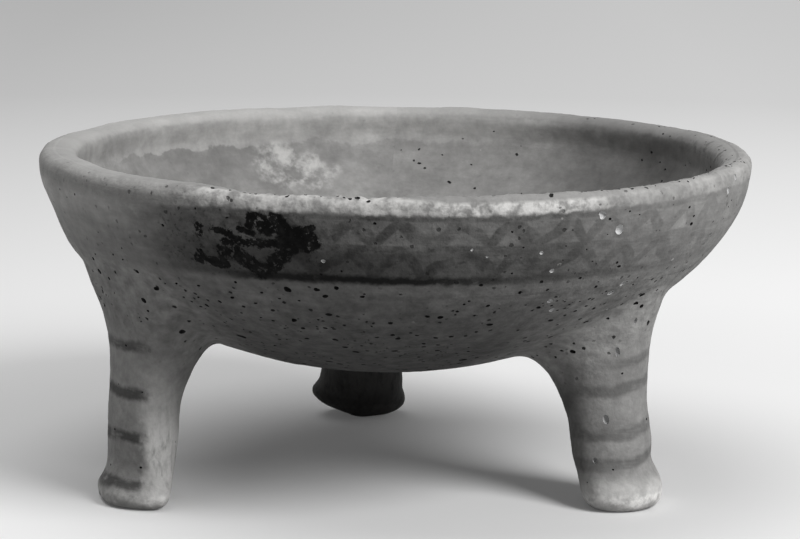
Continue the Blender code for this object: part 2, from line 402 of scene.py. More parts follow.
def modelLeg(side):
    v = legValues[side]
    rings = legRings(v)
    bpy.ops.mesh.primitive_circle_add(vertices=v["sides"], radius=1, fill_type="NGON", location=(0, 0, 0))
    leg = rename(bpy.context.active_object, side + "Column")
    points = readPoints(leg)             # a soft ridge runs down the leg
    turns = np.arctan2(points[:, 1], points[:, 0])
    writePoints(leg, points * ridgeAt(v, turns)[:, None])
    bpy.ops.object.mode_set(mode="EDIT")
    x, z, thick, wide, tilt = rings[0]
    bpy.ops.transform.resize(value=(thick / 2, wide / 2, 1), center_override=(0, 0, 0))
    bpy.ops.transform.translate(value=(x, 0, z))
    for ring in rings[1:]:
        nextX, nextZ, nextThick, nextWide, nextTilt = ring
        bpy.ops.mesh.extrude_region_move(TRANSFORM_OT_translate={"value": (nextX - x, 0, nextZ - z)})
        centre = (nextX, 0, nextZ)
        bpy.ops.transform.rotate(value=math.radians(-tilt), orient_axis="Y", center_override=centre)
        bpy.ops.transform.resize(value=(nextThick / thick, nextWide / wide, 1), center_override=centre)
        bpy.ops.transform.rotate(value=math.radians(nextTilt), orient_axis="Y", center_override=centre)
        x, z, thick, wide, tilt = ring
    faceOutwards()
    shapeFoot(leg, v, rings)
    leg.matrix_world = legFrame(side)
    bpy.ops.object.transform_apply()
    print(side, "leg drawn up:", len(leg.data.vertices), "points")
    return leg


# one clay body: the legs luted to the bowl, their roots smoothed over

bodyValues = {
    "voxel": 1.0 * mm,
    "evenPasses": 5,
    "rootPasses": 60,
    "rootReach": (38 * mm, 27 * mm),
    "rootOval": 1.15,
    "rootHeight": (22 * mm, 34 * mm),
    "skinDepth": (-4 * mm, -1 * mm),
    "rimShare": 0.2,     # this much of the depth below the rim is left as it is
    "undersideMargin": 2 * mm,
}


def joinClay(bowl, legs, v):
    body = rename(merge([bowl, *legs]), "clayBody")
    applyModifier(body, "REMESH", mode="VOXEL", voxel_size=v["voxel"], adaptivity=0)
    applyModifier(body, "SMOOTH", factor=0.5, iterations=v["evenPasses"])
    points = readPoints(body)
    z = points[:, 2]
    spread = np.hypot(points[:, 0] - leanAt(z), points[:, 1])
    near = np.zeros(len(points))
    for side in legValues:
        toLeg = np.array(legFrame(side).inverted())
        legPoints = points @ toLeg[:3, :3].T + toLeg[:3, 3]
        reach = np.hypot(legPoints[:, 0] / v["rootOval"], legPoints[:, 1])
        near = np.maximum(near, smoothstep(*v["rootReach"], reach) * smoothstep(*v["rootHeight"], z))
    skin = smoothstep(*v["skinDepth"], spread - outerRadius(z)) * (z < widest - outerDepth * v["rimShare"])
    below = z < bowlValues["underside"] + v["undersideMargin"]
    roots = weigh(body, "legRoots", near * np.maximum(skin, below))
    applyModifier(body, "SMOOTH", factor=0.5, iterations=v["rootPasses"], vertex_group=roots)
    print("clay joined:", len(body.data.vertices), "points")
    return body


# worked by hand: slow waves in the wall, an uneven lip, a worn front edge

handValues = {
    # name, size, detail, strength
    "waves": (("broadWave", 34 * mm, 1, 1.3 * mm), ("fingerWave", 11 * mm, 2, 0.45 * mm),
              ("grain", 2.8 * mm, 2, 0.22 * mm)),
    "lipWave": ("lipWear", 2.2 * mm, 1, 1.1 * mm),
    "lipZone": (78 * mm, 92 * mm),
    "lipInner": (96 * mm, 91 * mm),
    "lipUneven": 0.7 * mm,
    "leftFlat": 1.9 * mm,
    "leftFlatHeight": (76 * mm, 9 * mm),     # middle, half width
    "lipRise": 0.8 * mm,
    "frontSlope": 0.28,
    "frontEdge": 97.5 * mm,
    "frontZone": (84 * mm, 90 * mm),
    "wornZone": (87.5 * mm, 90 * mm),
    "wornElsewhere": 0.08,
    "tableZone": (0.5 * mm, 6 * mm),
}


def roughen(body, group, name, size, detail, strength):
    texture = bpy.data.textures.new(name, "CLOUDS")
    texture.noise_scale = size
    texture.noise_depth = detail
    applyModifier(body, "DISPLACE", texture=texture, strength=strength, mid_level=0.5, texture_coords="LOCAL",
                  vertex_group=group)


def workByHand(body, v):
    points = readPoints(body)
    z = points[:, 2]
    turn = np.arctan2(points[:, 0], -points[:, 1])
    degrees = np.degrees(turn)
    reach = np.hypot(points[:, 0], points[:, 1])
    high = smoothstep(*v["lipZone"], z)
    inner = smoothstep(*v["lipInner"], reach) * high
    swell = -np.sin(turn) * v["lipUneven"] * inner     # thicker lip on the left
    left = smoothstep(-40, -70, degrees) * smoothstep(-150, -115, degrees)
    pressed = v["leftFlat"] * left * hump(z, *v["leftFlatHeight"])
    for inward in (swell, pressed):
        points[:, :2] *= (1 - inward / np.maximum(reach, 10 * mm))[:, None]
    z += v["lipRise"] * (hump(turn, 1.15, 0.5) - 0.5 * hump(turn, -1.9, 0.6)) * high
    front = smoothstep(-34, -22, degrees) * smoothstep(105, 80, degrees)
    slope = np.maximum(0, v["frontEdge"] - reach) * smoothstep(*v["frontZone"], z)
    z -= v["frontSlope"] * slope * front     # front lip worn down towards the inside
    writePoints(body, points)
    offTable = weigh(body, "offTheTable", smoothstep(*v["tableZone"], z))
    for wave in v["waves"]:
        roughen(body, offTable, *wave)
    points = readPoints(body)
    degrees = np.degrees(np.arctan2(points[:, 0], -points[:, 1]))
    front = smoothstep(-42, -20, degrees) * smoothstep(80, 62, degrees)
    lip = smoothstep(*v["wornZone"], points[:, 2])
    worn = weigh(body, "wornLip", lip * (v["wornElsewhere"] + (1 - v["wornElsewhere"]) * front))
    roughen(body, worn, *v["lipWave"])
    points = readPoints(body)
    points[:, 2] = np.maximum(points[:, 2], 0)
    writePoints(body, points)
    print("worked by hand")


# pits left by burnt-out temper, their insides coloured near black as painted shade, and chips along the lip

pitValues = {
    "seed": 11,
    "lowerBody": 620,
    "wall": 90,
    "inside": 70,
    "lipChips": 90,
    "frontChips": 75,
    "eachLeg": 14,
    "sizes": (0.22, 0.26, 0.3, 0.36, 0.42, 0.5, 0.62),
    "growth": (1, 1, 1.2, 1.4, 1.6, 2.0),
    # degrees round from the front, height, size
    "named": ((-6, 47, 0.9), (-8.5, 48.7, 0.8), (3, 53, 0.7), (13.5, 53.5, 0.7), (6.5, 54.2, 0.6),
              (-10, 66.5, 0.9), (-33, 66, 0.6), (-38, 65.7, 0.55), (39, 72.5, 0.6), (38, 73.8, 0.5),
              (53, 81.5, 0.6), (51, 86.5, 0.5), (53, 83.6, 0.5), (32, 70.2, 0.6), (25, 70, 0.6),
              (-30, 77, 0.5), (-36.5, 82.5, 0.5)),
    # degrees, height, spread, count
    "clusters": ((29, 62, 5, 16), (-4, 50, 9, 16), (-20, 56, 10, 14), (12, 47, 9, 14), (40, 62, 6, 8)),
    "paleChips": ((32, 87.6, 1.5), (36, 83, 1.4), (26, 73, 0.8), (42, 64, 1.2), (47, 58, 1.1),
                  (29, 63.5, 0.9), (63, 88.5, 1.2), (66, 91.5, 0.8), (43, 66.5, 0.8), (31, 60.5, 1),
                  (-10, 76.5, 0.6), (23, 78.5, 0.5), (12, 80, 0.4), (14.5, 78, 0.35)),
    # x, y, z, half width, half height
    "legDents": ((61.6, -50, 43, 0.8, 1.9), (56.9, -50, 26, 0.9, 1.4), (53.3, -48, 14.5, 0.7, 0.9),
                 (66, -48, 52, 0.6, 1.2)),
    "dentDepth": 0.8 * mm,
    # pitShade and shallowPitShade colour the pits' insides near black: painted shade
    "greys": {"pitShade": 0.012, "shallowPitShade": 0.045, "chipClay": 0.60, "dentClay": 0.40},
    "sunk": 0.35,
    "apart": 1.2,
    "twist": 0.7,
    "lobes": 4,
}


def clayFinish(name, grey, roughness):
    material = bpy.data.materials.new(name)
    material.use_nodes = True
    shader = material.node_tree.nodes["Principled BSDF"]
    shader.inputs["Base Color"].default_value = (grey, grey, grey, 1)
    shader.inputs["Roughness"].default_value = roughness
    return material


def onWall(degrees, z, inward=0.0):
    turn = math.radians(degrees)
    r = float(outerRadius(z)) - inward
    return r * math.sin(turn) + leanAt(z), -r * math.cos(turn), z


def onLip(dice, degrees, radii, z):
    turn = math.radians(degrees)
    r = dice.uniform(*radii) * mm
    return r * math.sin(turn), -r * math.cos(turn), z


def pitPlaces(v):
    dice = random.Random(v["seed"])
    sizes = [size * mm for size in v["sizes"]]
    places = []          # point near the skin, half length, half height, depth, shade

    def add(spot, size, stretch, depth, shallow):
        places.append((*spot, size * dice.uniform(*stretch), size, size * depth, dice.random() < shallow))

    for degrees, z, size in v["named"]:
        places.append((*onWall(degrees, z * mm), size * 1.1 * mm, size * 0.8 * mm, size * 1.3 * mm, 0))
    for degrees, z, spread, count in v["clusters"]:
        for _ in range(count):
            size = dice.choice(sizes)
            spot = onWall(dice.gauss(degrees, spread / 2), dice.gauss(z, spread / 4) * mm)
            add(spot, size, (0.9, 1.5), 1.5, 0.25)
    for _ in range(v["lowerBody"]):
        size = dice.choice(sizes) * dice.choice(v["growth"])
        add(onWall(dice.uniform(-180, 180), dice.uniform(34, 70) * mm), size, (0.9, 1.5), 1.5, 0.25)
    for _ in range(v["wall"]):
        size = dice.choice(sizes[:4])
        add(onWall(dice.uniform(-180, 180), dice.uniform(70, 89) * mm), size, (1, 1.6), 1.4, 0.25)
    for _ in range(v["inside"]):         # most of them at the back on the right, all shallow
        size = dice.choice(sizes[:5])
        degrees = dice.uniform(95, 180) if dice.random() < 0.85 else dice.uniform(-180, 180)
        spot = onWall(degrees, dice.uniform(46, 88) * mm, bowlValues["wall"])
        places.append((*spot, size * dice.uniform(1, 1.8), size, size * 1.2, 1))
    for _ in range(v["lipChips"]):
        front = dice.random() < 0.75
        spot = onLip(dice, dice.uniform(-35, 80) if front else dice.uniform(80, 150), (89, 97), 93 * mm)
        add(spot, dice.choice(sizes[2:] if front else sizes[:4]), (1, 1.8), 0.8, 0.6)
    for _ in range(v["frontChips"]):
        spot = onLip(dice, dice.uniform(-30, 78), (94.5, 98.5), 93.5 * mm)
        add(spot, dice.choice(sizes[2:]) * 1.1, (1, 2), 1, 0.5)
    for side in legValues:
        for _ in range(v["eachLeg"]):
            turn = dice.uniform(-math.pi, math.pi)
            near = Vector((11 * mm * math.cos(turn), 12 * mm * math.sin(turn), dice.uniform(8, 48) * mm))
            add(legFrame(side) @ near, dice.choice(sizes[:4]), (1, 1.5), 1.4, 0.25)
    return places


def pitBlob(blob, dice, lobeCount, finish):
    pit = blob.copy()
    pit.data = blob.data.copy()
    pit.data.materials.append(finish)
    lobes = []
    for _ in range(lobeCount):
        toward = Vector((dice.uniform(-1, 1), dice.uniform(-1, 1), dice.uniform(-1, 1))).normalized()
        lobes.append((toward, dice.uniform(-0.6, 0.55)))
    for vertex in pit.data.vertices:
        vertex.co *= 1 + sum(size * max(0.0, vertex.co.normalized().dot(toward)) ** 4 for toward, size in lobes)
    bpy.context.collection.objects.link(pit)
    return pit


def pressPits(body, v):
    bpy.ops.mesh.primitive_ico_sphere_add(subdivisions=2, radius=1, location=(0, 0, 0))
    blob = bpy.context.active_object
    deep, shallow, pale, dent = (clayFinish(name, grey, 0.9) for name, grey in v["greys"].items())
    skin = BVHTree.FromObject(body, bpy.context.evaluated_depsgraph_get())
    marks = [(*onWall(degrees, z * mm), size * mm, size * mm, size * 0.6 * mm, pale)
             for degrees, z, size in v["paleChips"]]
    marks += [(*(value * mm for value in place), v["dentDepth"], dent) for place in v["legDents"]]
    marks += [(*pit, shallow if shade else deep) for *pit, shade in pitPlaces(v)]
    dice = random.Random(v["seed"] + 1)
    placed = []
    pits = []
    for x, y, z, long, tall, depth, finish in marks:
        spot, normal, _, _ = skin.find_nearest((x, y, z))
        across = normal.cross(Vector((0, 0, 1)))
        if across.length < 0.05:
            across = Vector((-y, x, 0))
        across.normalize()
        up = normal.cross(across)
        size = max(long, tall)
        if any((spot - other).length < v["apart"] * (size + otherSize) for other, otherSize in placed):
            continue
        placed.append((spot.copy(), size))
        twist = Matrix.Rotation(dice.uniform(-v["twist"], v["twist"]), 3, normal)
        axes = twist @ Matrix((across * long, up * tall, normal * depth)).transposed()
        pit = pitBlob(blob, dice, v["lobes"], finish)
        pit.data.transform(Matrix.Translation(spot - normal * depth * v["sunk"]) @ axes.to_4x4())
        pits.append(pit)
    discard(blob)
    cutter = merge(pits)
    bpy.ops.object.mode_set(mode="EDIT")
    faceOutwards()
    cutAway(body, cutter)
    discard(cutter)
    print("pits pressed:", len(placed))


# the finished skin is parted where the potter joined it

joinValues = {
    "rim": 80.6 * mm,
    "wall": 66.2 * mm,
    "above": 130 * mm,
    "around": 140 * mm,
    "legDepth": 1.5 * mm,
    "legBlock": (-20 * mm, 80 * mm, 26 * mm),     # low, high, radius
    "legBlockIn": 1 * mm,
    "coreSteps": (40, 120),
    "leastPoints": 500,
    "smoothAngle": 50,
}


def block(name, low, high, radius, place=(0, 0)):
    bpy.ops.mesh.primitive_cylinder_add(vertices=96, radius=radius, depth=high - low,
                                        location=(*place, (low + high) / 2))
    cutter = bpy.context.active_object
    cutter.name = name
    cutter.data.materials.append(bpy.data.materials["clay"])
    bpy.ops.object.transform_apply()
    return cutter


def partPiece(body, cutter, name):
    piece = twin(body, name)
    cutAway(piece, cutter, "INTERSECT")
    cutAway(body, cutter)
    return piece


def bowlCore(v):
    # the bowl's filled outer shape, a little smaller, where a leg's root ends
    inset = v["legDepth"]
    curveSteps, spinSteps = v["coreSteps"]
    curve = wallCurve(bowlValues["rimRadius"], outerDepth - inset, curveSteps)
    core = spinProfile("core", [(0.0, widest)] + [(max(0.0, r - inset), z) for r, z in curve], spinSteps)
    core.data.materials.append(bpy.data.materials["clay"])
    return core


def nearestLeg(points):
    middle = Vector(points.mean(axis=0)[:2])
    return min(legValues, key=lambda side: (legFrame(side).to_translation().xy - middle).length)


def partClay(body, v):
    rimBlock = block("rimBlock", v["rim"], v["above"], v["around"])
    wallBlock = block("wallBlock", v["wall"], v["rim"], v["around"])
    pieces = {"rim": partPiece(body, rimBlock, "rim"), "wall": partPiece(body, wallBlock, "wall")}
    core = bowlCore(v)
    blocks = []
    for side in legValues:
        place = legFrame(side) @ Vector((-v["legBlockIn"], 0, 0))
        blocks.append(block(side + "Block", *v["legBlock"], (place.x, place.y)))
    legBlocks = merge(blocks)
    cutAway(legBlocks, core)
    legs = partPiece(body, legBlocks, "legs")
    discard(legBlocks, rimBlock, wallBlock, core)
    pick(legs)
    bpy.ops.mesh.separate(type="LOOSE")
    for part in list(bpy.context.selected_objects):
        points = readPoints(part)
        if len(points) < v["leastPoints"]:
            discard(part)
            continue
        name = nearestLeg(points) + "Leg"
        pieces[name] = rename(part, name)
    pieces["base"] = rename(body, "base")
    for piece in pieces.values():
        pick(piece)
        piece.vertex_groups.clear()
        bpy.ops.object.shade_smooth_by_angle(angle=math.radians(v["smoothAngle"]))
        print("piece", piece.name, sum(len(face.vertices) - 2 for face in piece.data.polygons), "triangles")
    return pieces


# finishes: small helpers that add a node to the tree of the sockets they are given

def link(value, socket):
    if hasattr(value, "links"):
        socket.id_data.links.new(value, socket)
    else:
        socket.default_value = value


def addNode(kind, inputs, output, **settings):
    tree = next(value.id_data for value in inputs.values() if hasattr(value, "links"))
    node = tree.nodes.new(kind)
    for name, value in settings.items():
        setattr(node, name, value)
    for name, value in inputs.items():
        link(value, node.inputs[name])
    return node.outputs[output]


def calc(operation, a, b=0.0, c=0.0, clamp=False):
    return addNode("ShaderNodeMath", {0: a, 1: b, 2: c}, 0, operation=operation, use_clamp=clamp)


plus = partial(calc, "ADD")
minus = partial(calc, "SUBTRACT")
times = partial(calc, "MULTIPLY")
timesPlus = partial(calc, "MULTIPLY_ADD")
power = partial(calc, "POWER")
atLeast = partial(calc, "MAXIMUM")
atMost = partial(calc, "MINIMUM")


def about(grain, amount):
    return timesPlus(grain, amount, 1 - amount / 2)     # uneven, but 1 on the whole


def vary(tone, grain, amount):
    return times(tone, about(grain, amount))


def waver(grain, amount, value):
    return timesPlus(minus(grain, 0.5), amount, value)


def ease(value, low, high):
    return addNode("ShaderNodeMapRange", {"Value": value, "From Min": low, "From Max": high}, "Result",
                   interpolation_type="SMOOTHSTEP")


def between(value, low, high, soft):
    return times(ease(value, low - soft, low + soft), ease(value, high + soft, high - soft))


def mixTone(share, low, high):
    return addNode("ShaderNodeMix", {0: share, 2: low, 3: high}, 0, data_type="FLOAT")


def noise(vector, scale, detail=3.0, rough=0.55, output="Fac"):
    inputs = {"Vector": vector, "Scale": scale, "Detail": detail, "Roughness": rough}
    return addNode("ShaderNodeTexNoise", inputs, output)


def specks(vector, scale, radius, keep):
    away = addNode("ShaderNodeTexVoronoi", {"Vector": vector, "Scale": scale}, "Distance")
    chance = addNode("ShaderNodeSeparateColor", {0: away.node.outputs["Color"]}, 0)
    return times(ease(away, radius, radius * 0.6), ease(chance, 1 - keep, 1 - keep + 0.02))


def ramp(value, stops):
    grey = addNode("ShaderNodeValToRGB", {0: value}, "Color")
    bar = grey.node.color_ramp.elements
    while len(bar) < len(stops):
        bar.new(0.5)
    for element, (place, level) in zip(bar, stops):
        element.position = place
        element.color = (level, level, level, 1)
    return grey


def byTurn(turn, stops):
    # stops are degrees round from the front, left negative, and close on the first if they end before 180
    if stops[-1][0] < 180:
        stops = (*stops, (180, stops[0][1]))
    share = timesPlus(turn, 1 / math.tau, 0.5)
    return ramp(share, [(degrees / 360 + 0.5, grey) for degrees, grey in stops])


def combine(x, y, z):
    return addNode("ShaderNodeCombineXYZ", {0: x, 1: y, 2: z}, 0)


def combineGrey(tone, warmth=0.0):
    shares = (1, 1 - 0.35 * warmth, 1 - warmth)
    return addNode("ShaderNodeCombineColor", {i: times(tone, share) for i, share in enumerate(shares)}, 0)


def vectorCalc(operation, a, b=(0, 0, 0)):
    second = "Scale" if operation == "SCALE" else 1
    output = "Value" if operation in ("LENGTH", "DOT_PRODUCT", "DISTANCE") else "Vector"
    return addNode("ShaderNodeVectorMath", {0: a, second: b}, output, operation=operation)


def around(place, centre, size, ragged, noiseScale):
    # one soft patch about a point of the object, its edge broken by noise
    away = vectorCalc("LENGTH", vectorCalc("DIVIDE", vectorCalc("SUBTRACT", place, centre), size))
    return ease(waver(noise(place, noiseScale, 3), ragged, away), 1.1, 0.6)


def startFinish(name):
    material = bpy.data.materials.new(name)
    material.use_nodes = True
    tree = material.node_tree
    place = tree.nodes.new("ShaderNodeTexCoord").outputs["Object"]
    split = tree.nodes.new("ShaderNodeSeparateXYZ")
    link(place, split.inputs[0])
    return material, tree, place, split.outputs


clayValues = {"warmth": 0.03, "gloss": 0.06, "bump": 0.7, "bowlBump": 0.4 * mm, "legBump": 0.35 * mm}


def endFinish(tone, rough, height, depth):
    v = clayValues
    shader = tone.id_data.nodes["Principled BSDF"]
    link(combineGrey(tone, v["warmth"]), shader.inputs["Base Color"])
    link(rough, shader.inputs["Roughness"])
    shader.inputs["Specular IOR Level"].default_value = v["gloss"]
    bump = addNode("ShaderNodeBump", {"Strength": v["bump"], "Distance": depth, "Height": height}, 0)
    link(bump, shader.inputs["Normal"])


# the bowl's finish: pitted clay, two worn registers of painted triangles, a rubbed lip with a painted highlight

bowlTones = {
    # outside is paler on the left, standing in for light the lamps don't give there: painted light
    "outside": ((-180, 0.19), (-75, 0.42), (-48, 0.36), (-30, 0.19), (0, 0.16), (25, 0.185), (45, 0.265),
                (70, 0.33), (120, 0.19)),
    "underside": 0.16,
    # the lower body is darker where it faces down, and paler low on the right: painted shade and painted light
    "lowerShadeAndLight": ((-180, 0.7), (-75, 0.72), (-48, 0.68), (-35, 0.4), (-15, 0.56), (10, 0.46), (25, 0.46),
                   (38, 0.98), (55, 1.25), (80, 0.9), (120, 0.7)),
    # leftGlow lightens the upper left wall: painted light
    "leftGlow": ((-180, 0), (-115, 0), (-92, 0.8), (-55, 0.72), (-40, 0)),
    "coarseness": ((-180, 0.6), (-75, 0.22), (-50, 0.36), (-36, 0.7), (20, 0.7), (50, 0.5), (75, 0.4)),
    "insideFloor": 0.26,
    # inside is darker at the back on the right, where shade falls: painted shade
    "inside": ((-180, 0.31), (-110, 0.31), (-30, 0.28), (60, 0.24), (115, 0.17), (140, 0.2), (165, 0.3)),
    "insideTop": ((-180, 0.42), (-150, 0.36), (-125, 0.05), (-90, 0), (90, 0), (130, 0), (155, 0.3)),
    "insideDark": 0.63,
    "insideWorn": 0.50,
    "stain": ((-180, 0.45), (-166, 0.4), (-152, 0.9), (-124, 0.9), (-112, 0.3), (-100, 0), (100, 0),
              (150, 0.2)),
    "scrape": ((-31 * mm, 80 * mm, 76 * mm), (14 * mm, 14 * mm, 9 * mm)),     # middle, half size
    "lip": ((-180, 0.44), (-120, 0.4), (-75, 0.34), (-60, 0.35), (-30, 0.28), (10, 0.26), (40, 0.3),
            (75, 0.34), (105, 0.26), (140, 0.22), (160, 0.32), (180, 0.4)),
    "lipSpan": (10 * mm, 85 * mm),     # span and lowest height of the next two
    "lipEdge": ((-180, 0.4), (-130, 0.35), (-60, 0.22), (-34, 0.3), (-27, 0.44), (8, 0.4), (30, 0.39),
                (45, 0.44), (70, 0.42), (110, 0.4)),
    "shineTop": ((-180, 0.9), (-5, 0.9), (9, 0.7), (30, 0.7), (42, 0.8)),
    # lipShine: the pale band along the front lip's outer edge, wear and painted highlight
    "lipShine": ((-180, 0.2), (-60, 0.06), (-34, 0.12), (-29, 0.65), (-12, 0.55), (3, 0.6), (10, 1), (28, 1),
                 (34, 0.3), (44, 0.2), (60, 0.3), (75, 0.25), (110, 0.15)),
    "lipSoft": ((-180, 0.3), (-110, 0.6), (-90, 0.95), (-55, 0.8), (-36, 0.2), (50, 0.13), (75, 0.2),
                (110, 0.3)),
    "lipGaps": ((-180, 0), (-40, 0), (-32, 0.9), (0, 0.8), (12, 0.3), (40, 0.25), (70, 0.6), (95, 0.6),
                (120, 0)),
    "gap": 0.05,
    "rubbedAndLit": 0.64,
    "grit": ((-180, 0.3), (-20, 0.1), (20, 0.5), (50, 0.9), (90, 0.6)),
    "whiteGrain": 0.55,
    "pockShade": 0.014,
    "noises": {"broad": (34, 3), "patch": (95, 4, 0.6), "grain": (900, 3, 0.6), "coarse": (330, 4, 0.6),
               "gravel": (290, 3, 0.5)},     # scale, detail, roughness
}


def readWall(place, x, y, z):
    # what the parts of the bowl's finish share: where on the wall a point is, and the noises
    lean = bowlValues["lean"]
    across = minus(x, timesPlus(z, -lean / bowlDepth, lean * bowlValues["top"] / bowlDepth))
    turn = calc("ARCTAN2", across, times(y, -1))
    reach = calc("SQRT", plus(times(across, across), times(y, y)))
    # the middle of the wall parts the inside from the outside
    depth = outerDepth - bowlValues["floor"] / 2
    drop = power(timesPlus(z, -1 / depth, widest / depth, clamp=True), bowlValues["dropPower"])
    middle = power(minus(1, drop, clamp=True), 1 / bowlValues["spreadPower"])
    middle = times(middle, bowlValues["rimRadius"] - bowlValues["wall"] / 2)
    inside = ease(minus(middle, reach), -0.5 * mm, 0.5 * mm)
    off = ease(reach, 12 * mm, 52 * mm)              # what follows the turn fades out towards the middle
    below = ease(z, 73 * mm, 66 * mm)
    coarseness = atLeast(below, byTurn(turn, bowlTones["coarseness"]))
    noises = {name: noise(place, *values) for name, values in bowlTones["noises"].items()}
    return SimpleNamespace(place=place, z=z, turn=turn, reach=reach, inside=inside, off=off,
                           coarseness=coarseness, **noises)


def streaks(w, along, inward, scale, detail):
    level = combine(times(w.turn, along), times(w.reach, inward), w.z)
    return mixTone(w.off, 0.5, noise(level, scale, detail, 0.6))


def bareClay(w, v):
    # mottled and wiped in level streaks, with painted shade and painted light worked into the tone
    wipe = streaks(w, 0.012, 0.4, 700, 3)
    mottleAndShade = vary(vary(about(w.broad, 0.7), w.patch, 0.8), wipe, 0.4)
    blotch = plus(timesPlus(w.coarse, 1.4, -0.7), timesPlus(w.gravel, 2.6, -1.3))
    mottleAndShade = times(mottleAndShade, atLeast(timesPlus(blotch, times(w.coarseness, 0.42), 1), 0.25))
    # darker low down, paler low on the right: painted shade and painted light
    lower = mixTone(w.off, 0.6, byTurn(w.turn, v["lowerShadeAndLight"]))
    mottleAndShade = times(mottleAndShade, mixTone(ease(w.z, 40 * mm, 72 * mm), lower, 1.0))
    # the upper left wall lightened: painted light
    glow = times(byTurn(w.turn, v["leftGlow"]), ease(w.z, 74 * mm, 90 * mm))
    tone = mixTone(w.off, v["underside"], byTurn(w.turn, v["outside"]))
    tone = times(times(tone, mottleAndShade), plus(glow, 1))
    height = plus(times(w.grain, 0.5), times(wipe, 0.5))
    height = plus(height, times(w.coarse, 0.9))
    height = plus(height, times(times(w.gravel, w.coarseness), 1.4))
    return tone, times(height, timesPlus(w.inside, -0.65, 1))


paintValues = {
    "upperLine": (87.4 * mm, 89.4 * mm),
    "middleLine": (79.2 * mm, 81.0 * mm),
    "lowerLine": (70.2 * mm, 72.4 * mm),
    # peaks, phase, lowest, highest, roundness
    "rows": ((45, 0.8125, 81.0 * mm, 87.4 * mm, 1.0), (40, 0.7778, 72.4 * mm, 79.2 * mm, 0.8)),
    "stroke": 2.1 * mm,
    "paintTone": 0.008,
    "boldTones": (0.002, 0.014),
    "wash": ((-180, 0.34), (-120, 0.28), (-70, 0.05), (-40, 0.07), (-33, 0.14), (-20, 0.4), (-6, 0.42),
             (10, 0.36), (30, 0.28), (50, 0.2), (65, 0.12), (120, 0.28)),
    "lowerWash": ((-180, 0.3), (-60, 0.06), (-27, 0.15), (-22, 0.85), (-8, 1), (5, 0.95), (14, 0.75),
                  (22, 0.4), (50, 0.2), (70, 0.1), (120, 0.25)),
    # the one place where the paint is whole: start, end (degrees, height in mm), half width in mm
    "brushwork": (((-20.4, 87.4), (-18.4, 84.7), 2.1), ((-17.3, 87.2), (-15.8, 84), 2.5),
                  ((-15.5, 83.2), (-11.8, 81.5), 2.8), ((-13.2, 83), (-11.6, 85.5), 1.2),
                  ((-24.7, 80), (-16.4, 80.8), 1.0), ((-25.3, 79), (-19.9, 72.9), 2.2),
                  ((-14.7, 80.2), (-19, 73), 2.1), ((-25.8, 78.6), (-26.1, 74.2), 1.5),
                  ((-26.9, 73.9), (-30.9, 74.8), 1.2), ((-26.9, 83.6), (-23.2, 81.5), 0.9),
                  ((-22.6, 83.8), (-20.8, 83), 1.0), ((-29.7, 83.6), (-29.7, 81.8), 1.4),
                  ((-30.2, 76.6), (-29.8, 76.4), 0.9), ((-21.3, 87), (-21.2, 85.2), 1.1)),
    "stir": 5 * mm,
    "soot": ((-180, 0.1), (-60, 0), (-41, 0.05), (-35, 0.5), (-29, 0.7), (-12, 0.65), (-6, 0.45), (8, 0.32),
             (30, 0.2), (52, 0)),
    "sootZone": (70.8 * mm, 89.0 * mm, 1.2 * mm),         # low, high, softness
    "lowSoot": ((-180, 0.15), (-60, 0), (-42, 0.15), (-33, 0.4), (-20, 0.85), (0, 0.8), (15, 0.52),
                (35, 0.27), (52, 0.08), (65, 0)),
    "lowSootZone": (70.5 * mm, 79.5 * mm, 1.0 * mm),
}


def zigzag(turn, z, half, peaks, phase, low, high, roundness):
    along = calc("FRACT", timesPlus(turn, peaks / math.tau, phase))
    rise = power(calc("ABSOLUTE", timesPlus(along, 2, -1)), roundness)
    away = calc("ABSOLUTE", minus(z, timesPlus(rise, high - low, low)))
    stroke = ease(away, half * 1.25, half * 0.75)
    return times(stroke, between(z, low - 0.2 * mm, high + 0.2 * mm, 0.4 * mm))


def brush(flat, start, end, half):
    # one stroke on the unrolled wall
    begin, run = (Vector((math.radians(turn) * bowlValues["rimRadius"], z * mm, 0)) for turn, z in (start, end))
    run -= begin
    fromBegin = vectorCalc("SUBTRACT", flat, begin)
    share = times(vectorCalc("DOT_PRODUCT", fromBegin, run), 1 / run.length_squared, clamp=True)
    away = vectorCalc("DISTANCE", fromBegin, vectorCalc("SCALE", run, share))
    return ease(away, half * 1.2 * mm, half * 0.85 * mm)


